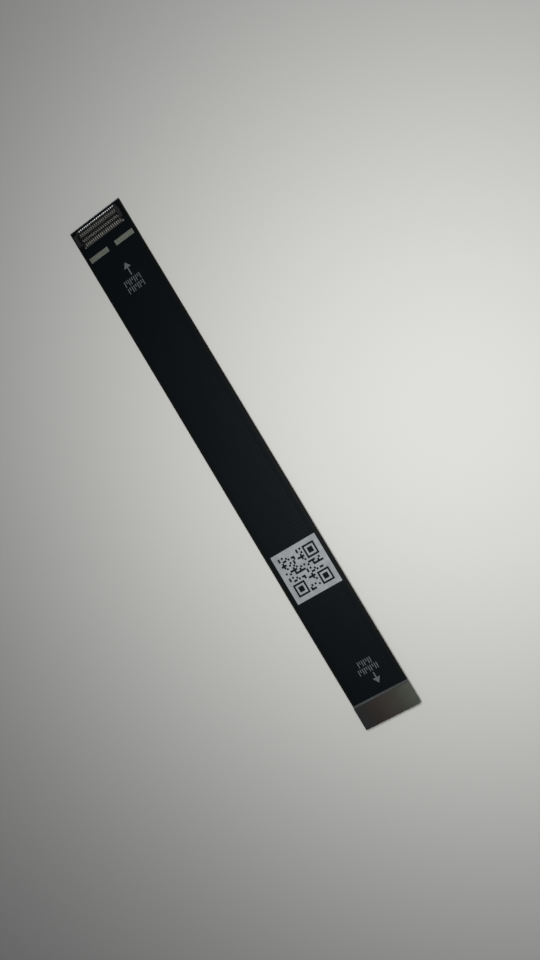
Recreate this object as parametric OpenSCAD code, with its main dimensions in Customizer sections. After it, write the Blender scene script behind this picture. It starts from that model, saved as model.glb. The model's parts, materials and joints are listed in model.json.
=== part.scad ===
// Flexible printed circuit that lengthens a board-to-board connection.
// A receptacle stands on top of one end and its matching plug hangs under the other.
// +X runs from the receptacle end to the plug end, +Z up, origin at the centre of the footprint.

/* [Flexible circuit] */
// Length of the whole cable
flex_length = 98; // [60:1:200]
// Film beside the receptacle, at each long edge
side_margin = 0.6; // [0.3:0.05:1]
// Film between the receptacle's tails and the end of the cable
end_margin = 0.54; // [0.35:0.01:1]
// Thickness of the polyimide core film
core_thickness = 0.03; // [0.02:0.005:0.1]
// Thickness of each copper layer
copper_thickness = 0.02; // [0.01:0.005:0.04]
// Thickness of each black coverlay film
coverlay_thickness = 0.03; // [0.02:0.005:0.06]
// Flat lengths that make up the rise from the low end to the high end
rise_steps = 8; // [4:1:16]
// Radius of the rounded corner at the plug end
corner_radius = 0.45; // [0.1:0.05:1]

/* [Copper] */
// Width of a signal trace
trace_width = 0.2; // [0.1:0.01:0.22]
// Gap between the outermost trace and the ground strip
ground_gap = 0.2; // [0.1:0.05:0.3]
// Bare film between the ground strip and the long edge
edge_setback = 0.45; // [0.2:0.05:0.5]
// Radius of a plated via
via_radius = 0.06; // [0.03:0.01:0.08]
// Length of a via's land, along the trace
via_land = 0.3; // [0.2:0.05:0.5]

/* [Test pads] */
// Pads in each of the two groups
pads_per_group = 10; // [3:1:11]
// Width of a pad
pad_width = 0.33; // [0.2:0.01:0.36]
// Length of a pad's window, along the cable
pad_length = 0.92; // [0.5:0.02:2]
// Height of the gold plating
gold_thickness = 0.01; // [0.004:0.002:0.016]
// Coverlay between the receptacle's solder window and the pads
pad_spacing = 1.75; // [0.5:0.01:4]

/* [Contacts] */
// Contacts in each row of a connector
contacts_per_row = 20; // [20:2:40]
// Distance from one contact to the next
contact_pitch = 0.4; // [0.4:0.05:0.6]
// Width of a contact
contact_width = 0.18; // [0.12:0.02:0.24]
// Thickness of a receptacle contact
spring_thickness = 0.08; // [0.05:0.01:0.1]
// Thickness of a plug contact
blade_thickness = 0.06; // [0.04:0.01:0.08]
// Room left around each contact in its housing
slot_clearance = 0.01; // [0.005:0.005:0.02]
// Room between plug and receptacle when they are mated
mating_clearance = 0.07; // [0.04:0.01:0.1]

/* [Receptacle] */
// Height of the housing above the film
receptacle_height = 0.9; // [0.8:0.05:1.5]
// Width of the island that the plug fits over
island_width = 0.4; // [0.3:0.05:0.8]
// How far the island stops below the rim
island_drop = 0.35; // [0.25:0.05:0.4]
// Island past the last contact, at each end
island_overhang = 0.2; // [0.2:0.05:0.5]
// Width of the channel beside the island
side_channel = 0.59; // [0.55:0.01:0.8]
// Width of the channel at the island's ends
end_channel = 0.35; // [0.35:0.05:0.7]
// Thickness of the side walls
side_wall = 0.24; // [0.22:0.01:0.4]
// Thickness of the end walls
end_wall = 0.45; // [0.2:0.05:0.7]
// Thickness of the channel's floor
channel_floor = 0.2; // [0.15:0.01:0.3]
// How far the tails reach past the housing
receptacle_tail = 0.39; // [0.25:0.01:0.5]
// Sheet thickness of the hold-downs
hold_down_sheet = 0.1; // [0.06:0.01:0.12]
// Width of the hold-downs' end tabs
hold_down_width = 1.1; // [0.6:0.05:1.3]
// Hold-down along each side wall
hold_down_return = 0.45; // [0.35:0.05:0.55]
// Width of the hold-downs' side legs
side_leg_width = 0.25; // [0.15:0.01:0.3]
// Height of a contact's wall arm, above the channel's floor
wall_arm = 0.3; // [0.15:0.05:0.45]

/* [Plug] */
// Height of the plug below the film
plug_height = 0.75; // [0.6:0.05:1.2]
// Thickness of the plug's base
plug_base = 0.25; // [0.15:0.01:0.35]
// How far the tails reach past the housing
plug_tail = 0.38; // [0.2:0.01:0.6]
// Sheet thickness of the plug's hold-downs
plug_sheet = 0.08; // [0.05:0.01:0.1]
// Width of the plug's hold-downs
plug_hold_down_width = 1.1; // [0.6:0.05:1.2]

/* [Stiffeners] */
// Thickness of the steel plates
steel_thickness = 0.2; // [0.1:0.05:0.4]
// Thickness of the bonding film
bond_thickness = 0.03; // [0.02:0.01:0.06]
// Bonding film pressed out along the inner edge of a plate
bond_bead = 0.4; // [0.1:0.05:0.6]
// Bevel round the free face of a plate
plate_bevel = 0.04; // [0.02:0.01:0.08]
// Steel past the test pads
receptacle_plate_overhang = 0.9; // [0.5:0.05:2]
// Steel past the plug's tails, at each side
plug_plate_overhang = 0.95; // [0.6:0.01:2]
// Radius of the nick where the plate was parted from its strip
nick_radius = 0.2; // [0.1:0.05:0.3]
// Distance of the nick from the middle of the end edge
nick_offset = 2.2; // [0.5:0.1:3.5]

/* [White print] */
// Thickness of the ink
ink_thickness = 0.015; // [0.01:0.005:0.04]
// Width of one square of the code panel
code_square_width = 0.335; // [0.2:0.005:0.39]
// White border round the code
code_border = 0.9; // [0.3:0.05:1.4]
// Bare film between the code panel and the plug's plate
code_distance = 19.85; // [10:0.05:25]
// Distance of the code panel from the middle line
code_y = 0.12; // [-0.2:0.01:0.2]
// Length of the receptacle's arrow
receptacle_arrow_length = 2.4; // [1.5:0.1:3.5]
// Length of the plug's arrow
plug_arrow_length = 2; // [1.5:0.1:3.5]
// Width of an arrow's head
arrow_head_width = 1.4; // [1:0.1:2.4]
// Length of an arrow's head
arrow_head_length = 1; // [0.5:0.1:1.4]
// Width of an arrow's shaft
arrow_shaft = 0.22; // [0.16:0.02:0.6]
// Bare film between the receptacle's plate and its arrow
receptacle_arrow_distance = 2.2; // [1:0.1:6]
// Distance of the receptacle's arrow from the middle line
receptacle_arrow_y = 0.47; // [-2:0.01:2]
// Bare film between the plug's plate and its arrow
plug_arrow_distance = 2; // [0.5:0.1:4]
// Distance of the plug's arrow from the middle line
plug_arrow_y = 0.92; // [-2:0.01:2]
// Length of the long bars in a mark
mark_bar_length = 1.05; // [0.6:0.05:1.2]
// Length of the short bars in a mark
mark_short_bar = 0.55; // [0.2:0.05:0.6]
// Width of a bar
mark_bar_width = 0.15; // [0.1:0.01:0.2]
// Distance from one bar to the next
mark_bar_pitch = 0.4; // [0.3:0.02:0.5]
// Distance from one row of bars to the next
mark_row_pitch = 1.3; // [1.25:0.05:2]
// Distance from the tail of an arrow to its mark
mark_distance = 0.3; // [0.1:0.05:1]
// Distance of the receptacle's mark from the middle line
receptacle_mark_y = 0.08; // [-2:0.01:2]
// Distance of the plug's mark from the middle line
plug_mark_y = 0.45; // [-2:0.01:2]

/* [Hidden] */

big = 400;             // reaches past every piece
past = 1;              // how far a cut reaches past what it cuts
land_lap = 0.1;        // copper and coverlay overlap round a window
toe = 0.2;             // solder in front of a tail
window_reach = 0.25;   // solder window in front of a tail
anchor_toe = 0.1;      // solder in front of a plug's foot
anchor_reach = 0.14;   // solder window in front of a plug's foot
window_lap = 0.04;     // solder window behind a housing's face or a tail's solder
window_margin = 0.05;  // solder window past the outermost tail
pad_margin = 0.03;     // bare film beside the outermost pad
ground_pads = 2;       // pads of a group that stand on the ground strip
solder_gap = 0.02;     // from a window's edge to the solder in it
solder_rise = 0.06;    // height of the solder in front of a contact
plug_joint = 0.2;      // solder under a plug's tail
plug_foot = 0.14;      // foot of a plug's hold-down
island_bevel = 0.06;   // bevel along the island's top
rim_bevel = 0.08;      // lead-in along the side walls' rims
spring_foot = 0.1;     // from the island to a spring's foot
spring_crest = 0.23;   // from the island to a spring's crest
crest_drop = 0.15;     // from the island's top down to a spring's crest
leg_offset = 0.1;      // from the island's end to a hold-down's leg
tab_lift = 0.1;        // from a floor to the end of a hold-down's tab
lip_height = 0.45;     // hold-down over the outside of the end wall
blade_lift = 0.05;     // from the plug's base to the end of a contact
rise_margin = 1;       // level film past the plates

// Receptacle, measured from its own centre: across is along the cable, out is to its ends
row_half = (contacts_per_row - 1) * contact_pitch / 2;
island_half = island_width / 2;
channel_half = island_half + side_channel;
receptacle_half = channel_half + side_wall;
receptacle_tail_end = receptacle_half + receptacle_tail;
island_end = row_half + island_overhang;
channel_end = island_end + end_channel;
receptacle_end = channel_end + end_wall;
hold_down_end = receptacle_end + hold_down_sheet;
side_leg_y = island_end + leg_offset + side_leg_width / 2;
island_height = receptacle_height - island_drop;

// Plug: its ring fits the channel of a receptacle
ring_inner = island_half + mating_clearance;
ring_outer = channel_half - mating_clearance;
ring_inner_end = island_end + mating_clearance;
plug_end = channel_end - mating_clearance;
plug_tail_end = ring_outer + plug_tail;
plug_foot_end = plug_end + plug_sheet + plug_foot;

// Solder windows, measured from a connector's centre
receptacle_window = [receptacle_half - window_lap, receptacle_tail_end + window_reach];
plug_window = [plug_tail_end - plug_joint - window_lap, plug_tail_end + window_reach];
receptacle_window_end = side_leg_y + side_leg_width / 2 + window_margin;
plug_window_end = row_half + contact_width / 2 + window_margin;
plug_anchor = [plug_end + plug_sheet, plug_foot_end + anchor_reach];

// Stations along the cable, measured from the receptacle end
receptacle_centre = end_margin + receptacle_tail_end;
pad_start = receptacle_centre + receptacle_window[1] + pad_spacing;
receptacle_plate_length = pad_start + pad_length + receptacle_plate_overhang;
plug_plate_length = 2 * (plug_tail_end + plug_plate_overhang);
plug_plate_start = flex_length - plug_plate_length;
plug_centre = flex_length - plug_plate_length / 2;
receptacle_via = receptacle_centre - island_half - side_channel / 2;
plug_via = plug_centre + ring_inner + land_lap;
flex_width = 2 * (hold_down_end + side_margin);

// Heights of the layers above the underside of the circuit
bottom_copper_z = coverlay_thickness;
core_z = bottom_copper_z + copper_thickness;
top_copper_z = core_z + core_thickness;
top_coverlay_z = top_copper_z + copper_thickness;
flex_thickness = top_coverlay_z + coverlay_thickness;

// The receptacle end lies on its plate and the plug end stands on its plug
low = steel_thickness + bond_thickness;
high = plug_height;
rise_start = receptacle_plate_length + rise_margin;
rise_end = plug_plate_start - bond_bead - rise_margin;

function ease(t) = t * t * (3 - 2 * t);
RISE = [
    for (i = [0 : rise_steps])
        let (t = i / rise_steps)
        [rise_start + (rise_end - rise_start) * t, low + (high - low) * ease(t)]
];
function underside(s) = lookup(s, RISE);

// Stations of a layer's corners between two ends
function stations(s0, s1) = concat([s0], [for (r = RISE) if (r[0] > s0 && r[0] < s1) r[0]], [s1]);
function reversed(list) = [for (i = [len(list) - 1 : -1 : 0]) list[i]];

// A film or foil that follows the circuit from s0 to s1, z above its underside
module layer(z, thickness, s0, s1, width) {
    along = stations(s0, s1);
    bottom_edge = [for (s = along) [s, underside(s) + z]];
    top_edge = [for (s = reversed(along)) [s, underside(s) + z + thickness]];
    rotate([90, 0, 0])
        linear_extrude(width, center = true)
            polygon(concat(bottom_edge, top_edge));
}

// A layer that spans y0 to y1 instead of the middle
module strip(z, thickness, s0, s1, y0, y1)
    translate([0, (y0 + y1) / 2, 0]) layer(z, thickness, s0, s1, y1 - y0);

// Moves from stations along the cable to the part's own origin
module cable_frame() translate([-flex_length / 2, 0, 0]) children();

// Vertical cut through everything, over a rectangle of stations and y
module window(s0, s1, y0, y1)
    translate([s0, y0, -past]) cube([s1 - s0, y1 - y0, big]);

// Takes away the rounded corner of the plug end
module corner_cut() {
    x = flex_length - corner_radius;
    y = flex_width / 2 - corner_radius;
    difference() {
        window(x, flex_length + past, y, flex_width / 2 + past);
        translate([x, y, -2 * past]) cylinder(r = corner_radius, h = 2 * big, $fn = 48);
    }
}

// Places children at every contact of a row
module row_places()
    for (i = [0 : contacts_per_row - 1])
        translate([0, i * contact_pitch - row_half, 0]) children();

module both_sides() {
    children();
    rotate([0, 0, 180]) children();
}

// Connector frames: across along the cable, up away from the film
module receptacle_frame() cable_frame() translate([receptacle_centre, 0, low + flex_thickness]) children();
module plug_frame() cable_frame() translate([plug_centre, 0, high]) mirror([0, 0, 1]) children();

// Bent strip of even thickness along a path, with mitred corners
function unit(v) = v / norm(v);
function normal(v) = [-v[1], v[0]];
function corner(path, i, offset) =
    let (
        last = len(path) - 1,
        before = unit(i == 0 ? path[1] - path[0] : path[i] - path[i - 1]),
        after = unit(i == last ? path[last] - path[last - 1] : path[i + 1] - path[i])
    )
    path[i] + offset * (normal(before) + normal(after)) / (1 + before * after);
function ribbon(path, thickness) = concat(
    [for (i = [0 : len(path) - 1]) corner(path, i, thickness / 2)],
    [for (i = [len(path) - 1 : -1 : 0]) corner(path, i, -thickness / 2)]
);

// Profile across a connector, extruded along its row
module across(points, width) rotate([90, 0, 0]) linear_extrude(width, center = true) polygon(points);
// Profile outwards to a connector's end, extruded across it
module outwards(points, width) rotate([90, 0, 90]) linear_extrude(width, center = true) polygon(points);

// ---- Copper, films and vias ----

function trace_y(i) = i * contact_pitch - row_half;
ground_inner = row_half + trace_width / 2 + ground_gap;
ground_outer = flex_width / 2 - edge_setback;
copper_start = receptacle_centre - receptacle_window[1] + land_lap / 2;
copper_finish = flex_length - copper_start;

module traces(z, s0, s1)
    for (i = [0 : contacts_per_row - 1])
        translate([0, trace_y(i), 0]) layer(z, copper_thickness, s0, s1, trace_width);

module ground_strips(z) {
    strip(z, copper_thickness, copper_start, copper_finish, ground_inner, ground_outer);
    strip(z, copper_thickness, copper_start, copper_finish, -ground_outer, -ground_inner);
}

// The outermost pads of a group stand on the ground strip
function pad_y(i) = trace_y(i - ground_pads);

module pad_lands()
    for (i = [0 : pads_per_group - 1])
        translate([0, pad_y(i), 0])
            layer(top_copper_z, copper_thickness,
                  pad_start - land_lap, pad_start + pad_length + land_lap, pad_width);

module top_copper() color("#b87333") cable_frame() {
    traces(top_copper_z, receptacle_centre + receptacle_window[0] - land_lap, plug_via + via_land / 2);
    traces(top_copper_z, copper_start, receptacle_via + via_land / 2);
    ground_strips(top_copper_z);
    pad_lands();
    mirror([0, 1, 0]) pad_lands();
}

module bottom_copper() color("#b87333") cable_frame() {
    traces(bottom_copper_z, receptacle_via - via_land / 2, plug_centre - plug_window[0] + land_lap);
    traces(bottom_copper_z, plug_via - via_land / 2, plug_centre + plug_window[1] + land_lap);
    ground_strips(bottom_copper_z);
}

// Via barrels from one copper layer to the other
module via_barrels(s, base) {
    ground_y = (ground_inner + ground_outer) / 2;
    for (y = concat([for (i = [0 : contacts_per_row - 1]) trace_y(i)], [-ground_y, ground_y]))
        translate([s, y, base + core_z]) cylinder(r = via_radius, h = core_thickness, $fn = 8);
}

module receptacle_end_vias() color("#c98a4b") cable_frame() via_barrels(receptacle_via, low);
module plug_end_vias() color("#c98a4b") cable_frame() via_barrels(plug_via, high);

module core_film() color("#8a6a1f") cable_frame()
    difference() {
        layer(core_z, core_thickness, 0, flex_length, flex_width);
        corner_cut();
        via_barrels(receptacle_via, low);
        via_barrels(plug_via, high);
    }

// Openings for the tails of a connector
module tail_windows(centre, reach, row_end)
    translate([centre, 0, 0]) both_sides()
        window(reach[0], reach[1], -row_end, row_end);

// Openings for the feet of the plug's hold-downs
module foot_windows() {
    half = plug_hold_down_width / 2 + window_lap;
    translate([plug_centre, 0, 0]) both_sides()
        window(-half, half, plug_anchor[0], plug_anchor[1]);
}

// y range of the right-hand group of test pads
pad_group = [
    pad_y(0) - pad_width / 2 - pad_margin,
    pad_y(pads_per_group - 1) + pad_width / 2 + pad_margin,
];

module pad_window() window(pad_start, pad_start + pad_length, pad_group[0], pad_group[1]);

module top_coverlay() color("#0b0f14") cable_frame()
    difference() {
        layer(top_coverlay_z, coverlay_thickness, 0, flex_length, flex_width);
        corner_cut();
        tail_windows(receptacle_centre, receptacle_window, receptacle_window_end);
        pad_window();
        mirror([0, 1, 0]) pad_window();
    }

module bottom_coverlay() color("#0b0f14") cable_frame()
    difference() {
        layer(0, coverlay_thickness, 0, flex_length, flex_width);
        corner_cut();
        tail_windows(plug_centre, plug_window, plug_window_end);
        foot_windows();
    }

// Gold plating on the lands, inside a window
module test_pads() cable_frame()
    for (i = [0 : pads_per_group - 1])
        translate([0, pad_y(i), 0])
            layer(top_coverlay_z, gold_thickness, pad_start, pad_start + pad_length, pad_width);

module right_test_pads() color("#c9a04a") test_pads();
module left_test_pads() color("#c9a04a") mirror([0, 1, 0]) test_pads();

// ---- Stiffening plates ----

// Flat plate with the edges of its upper face bevelled
module plate(length) {
    half = flex_width / 2;
    top = steel_thickness;
    b = plate_bevel;
    intersection() {
        translate([length / 2, 0, 0])
            across([[-length / 2, 0], [length / 2, 0], [length / 2, top - b], [length / 2 - b, top],
                    [b - length / 2, top], [-length / 2, top - b]], 2 * flex_width);
        outwards([[-half, 0], [half, 0], [half, top - b], [half - b, top],
                  [b - half, top], [-half, top - b]], 4 * length);
    }
}

module receptacle_plate() color("#8c8a84") cable_frame()
    translate([0, 0, steel_thickness]) mirror([0, 0, 1]) plate(receptacle_plate_length);

module receptacle_plate_bond() color("#b9a46a") cable_frame()
    layer(-bond_thickness, bond_thickness, 0, receptacle_plate_length + bond_bead, flex_width);

module plug_plate() color("#4a4742") cable_frame()
    difference() {
        translate([plug_plate_start, 0, high + flex_thickness + bond_thickness]) plate(plug_plate_length);
        corner_cut();
        translate([flex_length, nick_offset, 0]) cylinder(r = nick_radius, h = big, $fn = 24);
    }

module plug_plate_bond() color("#b9a46a") cable_frame()
    difference() {
        layer(flex_thickness, bond_thickness, plug_plate_start - bond_bead, flex_length, flex_width);
        corner_cut();
    }

// ---- Receptacle ----

// Tail, through the foot of the side wall, along the channel's floor and up beside the island
spring_path = [
    [receptacle_tail_end, spring_thickness / 2],
    [receptacle_half - slot_clearance, spring_thickness / 2],
    [channel_half + spring_foot, channel_floor - spring_thickness / 2],
    [island_half + spring_foot, channel_floor - spring_thickness / 2],
    [island_half + (spring_foot + spring_crest) / 2 - spring_thickness / 4, island_height - 2 * crest_drop],
    [island_half + spring_crest, island_height - crest_drop],
    [island_half + spring_thickness, island_height],
];
// Arm that grips the side wall
wall_arm_path = [
    [channel_half + spring_thickness / 2, channel_floor - spring_thickness / 2],
    [channel_half + spring_thickness / 2, channel_floor + wall_arm],
];

// Blanked contact; room widens it all round
module spring_contact(room)
    rotate([90, 0, 0])
        linear_extrude(contact_width + 2 * room, center = true) {
            polygon(ribbon(spring_path, spring_thickness + 2 * room));
            polygon(ribbon(wall_arm_path, spring_thickness + 2 * room));
        }

// Lip outside the end wall, over the wall and down into the channel
end_tab_path = [
    [hold_down_end - hold_down_sheet / 2, receptacle_height - lip_height],
    [hold_down_end - hold_down_sheet / 2, receptacle_height - hold_down_sheet / 2],
    [channel_end - hold_down_sheet / 2, receptacle_height - hold_down_sheet / 2],
    [channel_end - hold_down_sheet / 2, channel_floor + tab_lift],
];
// From the rim of a side wall down its outside and out over the film
side_leg_path = [
    [receptacle_half - hold_down_sheet, receptacle_height - hold_down_sheet / 2],
    [receptacle_half + hold_down_sheet / 2, receptacle_height - hold_down_sheet / 2],
    [receptacle_half + hold_down_sheet / 2, hold_down_sheet / 2],
    [receptacle_tail_end, hold_down_sheet / 2],
];

// Flat top of a hold-down: over the end wall and back along both side walls
module hold_down_top(room) {
    start = channel_end - hold_down_return - room;
    sheet_z = receptacle_height - hold_down_sheet;
    difference() {
        translate([-receptacle_half, start, sheet_z])
            cube([2 * receptacle_half, hold_down_end - start, hold_down_sheet]);
        translate([-channel_half, start - past, sheet_z - past])
            cube([2 * channel_half, channel_end - start - hold_down_sheet + past, 2 * past]);
    }
}

island_profile = [
    [-island_half, 0], [island_half, 0], [island_half, island_height - island_bevel],
    [island_half - island_bevel, island_height], [island_bevel - island_half, island_height],
    [-island_half, island_height - island_bevel],
];
rim_profile = [
    [-channel_half, receptacle_height - rim_bevel], [channel_half, receptacle_height - rim_bevel],
    [channel_half + rim_bevel, receptacle_height], [channel_half + rim_bevel, receptacle_height + past],
    [-channel_half - rim_bevel, receptacle_height + past], [-channel_half - rim_bevel, receptacle_height],
];

module receptacle_housing() color("#2a2622") receptacle_frame()
    difference() {
        translate([-receptacle_half, -receptacle_end, 0])
            cube([2 * receptacle_half, 2 * receptacle_end, receptacle_height]);
        // Channel round the island
        difference() {
            translate([-channel_half, -channel_end, channel_floor])
                cube([2 * channel_half, 2 * channel_end, receptacle_height]);
            across(island_profile, 2 * island_end);
        }
        // Lead-in for the plug
        across(rim_profile, 2 * (channel_end - hold_down_return - slot_clearance));
        // Slots that the contacts are pressed into
        both_sides() row_places() spring_contact(slot_clearance);
        // Seats of the hold-downs
        both_sides() hold_down_top(slot_clearance);
    }

module receptacle_contacts() row_places() spring_contact(0);

module receptacle_inner_contacts() color("#d6b25e") receptacle_frame() receptacle_contacts();
module receptacle_outer_contacts() color("#d6b25e") receptacle_frame()
    rotate([0, 0, 180]) receptacle_contacts();

module side_leg() translate([0, side_leg_y, 0])
    across(ribbon(side_leg_path, hold_down_sheet), side_leg_width);

module receptacle_hold_down() {
    outwards(ribbon(end_tab_path, hold_down_sheet), hold_down_width);
    hold_down_top(0);
    side_leg();
    mirror([1, 0, 0]) side_leg();
}

module receptacle_left_hold_down() color("#a9a8a3") receptacle_frame() receptacle_hold_down();
module receptacle_right_hold_down() color("#a9a8a3") receptacle_frame()
    rotate([0, 0, 180]) receptacle_hold_down();

// Solder under a tail and up its end; start and finish are measured from the connector's centre
function solder_profile(start, finish, front, rise) = [
    [start, -coverlay_thickness], [finish + front, -coverlay_thickness],
    [finish, rise], [finish, 0], [start, 0],
];

module receptacle_solder() row_places()
    across(solder_profile(receptacle_window[0] + solder_gap, receptacle_tail_end, toe, solder_rise),
           contact_width);

module receptacle_inner_solder() color("#c4c6c8") receptacle_frame() receptacle_solder();
module receptacle_outer_solder() color("#c4c6c8") receptacle_frame() rotate([0, 0, 180]) receptacle_solder();

module leg_solder() translate([0, side_leg_y, 0])
    across(solder_profile(receptacle_window[0] + solder_gap, receptacle_tail_end, toe, hold_down_sheet),
           side_leg_width);

module receptacle_anchor_solder() {
    leg_solder();
    mirror([1, 0, 0]) leg_solder();
}

module receptacle_left_anchor_solder() color("#c4c6c8") receptacle_frame() receptacle_anchor_solder();
module receptacle_right_anchor_solder() color("#c4c6c8") receptacle_frame()
    rotate([0, 0, 180]) receptacle_anchor_solder();

// ---- Plug ----

// Tail, along the outside of the ring, round its rim and up the inside
plug_path = [
    [plug_tail_end, blade_thickness / 2],
    [ring_outer - blade_thickness / 2, blade_thickness / 2],
    [ring_outer - blade_thickness / 2, plug_height - blade_thickness / 2],
    [ring_inner + blade_thickness / 2, plug_height - blade_thickness / 2],
    [ring_inner + blade_thickness / 2, plug_base + blade_lift],
];

// Foot on its anchor, up the end wall and over its rim
plug_hold_down_path = [
    [plug_foot_end, plug_sheet / 2],
    [plug_end + plug_sheet / 2, plug_sheet / 2],
    [plug_end + plug_sheet / 2, plug_height - plug_sheet / 2],
    [ring_inner_end + plug_sheet / 2, plug_height - plug_sheet / 2],
    [ring_inner_end + plug_sheet / 2, plug_base + tab_lift],
];

module plug_housing() color("#2a2622") plug_frame()
    difference() {
        translate([-ring_outer, -plug_end, 0]) cube([2 * ring_outer, 2 * plug_end, plug_height]);
        // Recess that takes the receptacle's island
        translate([-ring_inner, -ring_inner_end, plug_base])
            cube([2 * ring_inner, 2 * ring_inner_end, plug_height]);
        // Grooves that hold the contacts
        both_sides() row_places()
            across(ribbon(plug_path, blade_thickness + 2 * slot_clearance),
                   contact_width + 2 * slot_clearance);
        // Seats of the hold-downs
        both_sides()
            outwards(ribbon(plug_hold_down_path, plug_sheet), plug_hold_down_width);
    }

module plug_contacts() row_places() across(ribbon(plug_path, blade_thickness), contact_width);

module plug_outer_contacts() color("#d6b25e") plug_frame() plug_contacts();
module plug_inner_contacts() color("#d6b25e") plug_frame() rotate([0, 0, 180]) plug_contacts();

module plug_hold_down() outwards(ribbon(plug_hold_down_path, plug_sheet), plug_hold_down_width);

module plug_left_hold_down() color("#a9a8a3") plug_frame() plug_hold_down();
module plug_right_hold_down() color("#a9a8a3") plug_frame() rotate([0, 0, 180]) plug_hold_down();

module plug_solder() row_places()
    across(solder_profile(plug_window[0] + solder_gap, plug_tail_end, toe, blade_thickness),
           contact_width);

module plug_outer_solder() color("#c4c6c8") plug_frame() plug_solder();
module plug_inner_solder() color("#c4c6c8") plug_frame() rotate([0, 0, 180]) plug_solder();

module plug_anchor_solder()
    outwards(solder_profile(plug_anchor[0] + solder_gap, plug_foot_end, anchor_toe, plug_sheet),
             plug_hold_down_width);

module plug_left_anchor_solder() color("#c4c6c8") plug_frame() plug_anchor_solder();
module plug_right_anchor_solder() color("#c4c6c8") plug_frame() rotate([0, 0, 180]) plug_anchor_solder();

// ---- White print ----

// Ink over the plan shape of the children, between two stations
module printed(s0, s1) color("#c9ccd0") cable_frame()
    intersection() {
        layer(flex_thickness, ink_thickness, s0, s1, flex_width);
        linear_extrude(big) children();
    }

code_modules = 22;  // squares along each side of the code
finder_modules = 7; // squares along each side of a corner square
code_lap = 0.01;    // neighbouring gaps run into each other
code_side = code_modules * code_square_width;
code_panel_side = code_side + 2 * code_border;
code_finish = plug_plate_start - code_distance;
code_start = code_finish - code_panel_side;

// Is a square of the field left unprinted? Column and row count from the corner without a corner square
function code_gap(column, row) = (column * column * row + 5 * row * row + 3 * column + row) % 11 < 4;
// Is a square inside one of the three corner squares, with their white borders?
function in_finder(column, row) =
    let (near = finder_modules + 1, far = code_modules - finder_modules - 1)
    (column >= far && row >= far) || (column >= far && row < near) || (column < near && row >= far);

module code_square(column, row, size)
    translate([column * code_square_width, row * code_square_width]) square(size * code_square_width);

module finder(column, row)
    difference() {
        code_square(column, row, finder_modules);
        code_square(column + 1, row + 1, finder_modules - 2);
    }

// Unprinted squares of one column, joined where they follow each other
module code_column(column)
    for (row = [0 : code_modules - 1])
        if (code_gap(column, row) && !in_finder(column, row))
            translate([column * code_square_width - code_lap, row * code_square_width - code_lap])
                square(code_square_width + 2 * code_lap);

module code_panel()
    printed(code_start - past, code_finish + past)
        translate([code_start, code_y - code_panel_side / 2])
            difference() {
                square(code_panel_side);
                translate([code_border, code_border]) {
                    far = code_modules - finder_modules;
                    for (place = [[far, far], [far, 0], [0, far]]) {
                        finder(place[0], place[1]);
                        code_square(place[0] + 2, place[1] + 2, finder_modules - 4);
                    }
                    for (column = [0 : code_modules - 1])
                        code_column(column);
                }
            }

// Arrow along +X, its tip at the origin
module arrow_outline(length)
    polygon([
        [0, 0], [-arrow_head_length, arrow_head_width / 2], [-arrow_head_length, arrow_shaft / 2],
        [-length, arrow_shaft / 2], [-length, -arrow_shaft / 2],
        [-arrow_head_length, -arrow_shaft / 2], [-arrow_head_length, -arrow_head_width / 2],
    ]);

receptacle_arrow_tip = receptacle_plate_length + receptacle_arrow_distance;
plug_arrow_tip = plug_plate_start - plug_arrow_distance;

module receptacle_arrow()
    printed(receptacle_arrow_tip, receptacle_arrow_tip + receptacle_arrow_length)
        translate([receptacle_arrow_tip, receptacle_arrow_y])
            mirror([1, 0]) arrow_outline(receptacle_arrow_length);

module plug_arrow()
    printed(plug_arrow_tip - plug_arrow_length, plug_arrow_tip)
        translate([plug_arrow_tip, plug_arrow_y]) arrow_outline(plug_arrow_length);

// Rows of plain bars, every third one short; bars lists how many stand in each row
module bars_outline(bars)
    for (row = [0 : len(bars) - 1])
        for (i = [0 : bars[row] - 1]) {
            bar = i % 3 == 1 ? mark_short_bar : mark_bar_length;
            translate([row * mark_row_pitch, (i - (bars[row] - 1) / 2) * mark_bar_pitch - mark_bar_width / 2])
                square([bar, mark_bar_width]);
        }

receptacle_mark_bars = [9, 9];
plug_mark_bars = [7, 10];
mark_length = mark_row_pitch + mark_bar_length;
receptacle_mark_start = receptacle_arrow_tip + receptacle_arrow_length + mark_distance;
plug_mark_start = plug_arrow_tip - plug_arrow_length - mark_distance - mark_length;

module receptacle_mark()
    printed(receptacle_mark_start, receptacle_mark_start + mark_length)
        translate([receptacle_mark_start, receptacle_mark_y]) bars_outline(receptacle_mark_bars);

module plug_mark()
    printed(plug_mark_start, plug_mark_start + mark_length)
        translate([plug_mark_start, plug_mark_y]) bars_outline(plug_mark_bars);

core_film();
top_copper();
bottom_copper();
receptacle_end_vias();
plug_end_vias();
top_coverlay();
bottom_coverlay();
left_test_pads();
right_test_pads();
receptacle_plate();
receptacle_plate_bond();
plug_plate();
plug_plate_bond();
receptacle_housing();
receptacle_outer_contacts();
receptacle_inner_contacts();
receptacle_left_hold_down();
receptacle_right_hold_down();
receptacle_outer_solder();
receptacle_inner_solder();
receptacle_left_anchor_solder();
receptacle_right_anchor_solder();
plug_housing();
plug_outer_contacts();
plug_inner_contacts();
plug_left_hold_down();
plug_right_hold_down();
plug_outer_solder();
plug_inner_solder();
plug_left_anchor_solder();
plug_right_anchor_solder();
code_panel();
receptacle_arrow();
plug_arrow();
receptacle_mark();
plug_mark();
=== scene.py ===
# %% [markdown]
# # A flexible printed circuit that lengthens a board-to-board connection
# The cable is a sandwich of films 0.13 mm thick and 98 mm long. A receptacle stands on top of one end, and
# the plug that fits such a receptacle hangs under the other. Steel plates stiffen both ends. The sizes come
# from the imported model, so this script only adds surfaces: finer meshes, finishes, a floor, light, a camera.

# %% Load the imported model
import json
import math

import bmesh
import bpy
from mathutils import Matrix, Vector


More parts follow.
